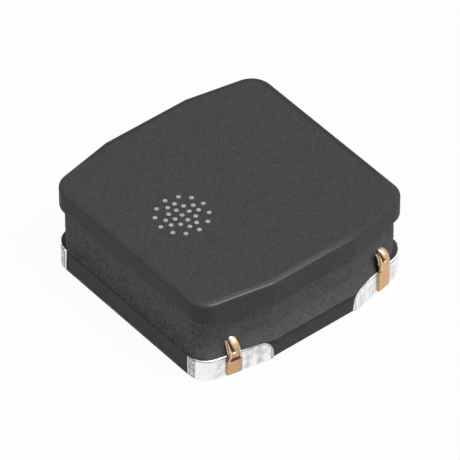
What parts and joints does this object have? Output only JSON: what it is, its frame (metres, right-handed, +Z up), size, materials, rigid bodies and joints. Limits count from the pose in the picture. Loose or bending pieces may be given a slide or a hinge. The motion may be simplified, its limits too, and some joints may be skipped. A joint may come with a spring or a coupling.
{
  "type": "shielded smd inductor",
  "caption": "Low, square surface-mount power inductor: ferrite drum core, wound coil closed with magnetic resin, and two plated terminals with flattened wire ends.",
  "frame": {"origin": "centre of the underside, in the plane of the solder lands", "axes": "+Z up away from the board; X across the plain sides from one terminal to the other; both wire ends on the -Y side"},
  "size_m": [0.005, 0.005, 0.0019],
  "materials": {
    "ferrite": "dark grey sintered ferrite, matt with a fine grain",
    "copper_wire": "bare copper, pressed flat at the ends, bright",
    "magnetic_resin": "dark grey epoxy filled with magnetic powder, rough and speckled",
    "terminal_plating": "dull silver tin plating, slightly mottled",
    "mark_ink": "light grey printing ink, matt"
  },
  "bodies": {
    "root": {"drum_core": "ferrite", "winding": "copper_wire", "resin_shield": "magnetic_resin", "electrode_left": "terminal_plating", "electrode_right": "terminal_plating", "orientation_dots": "mark_ink"}
  },
  "joints": []
}
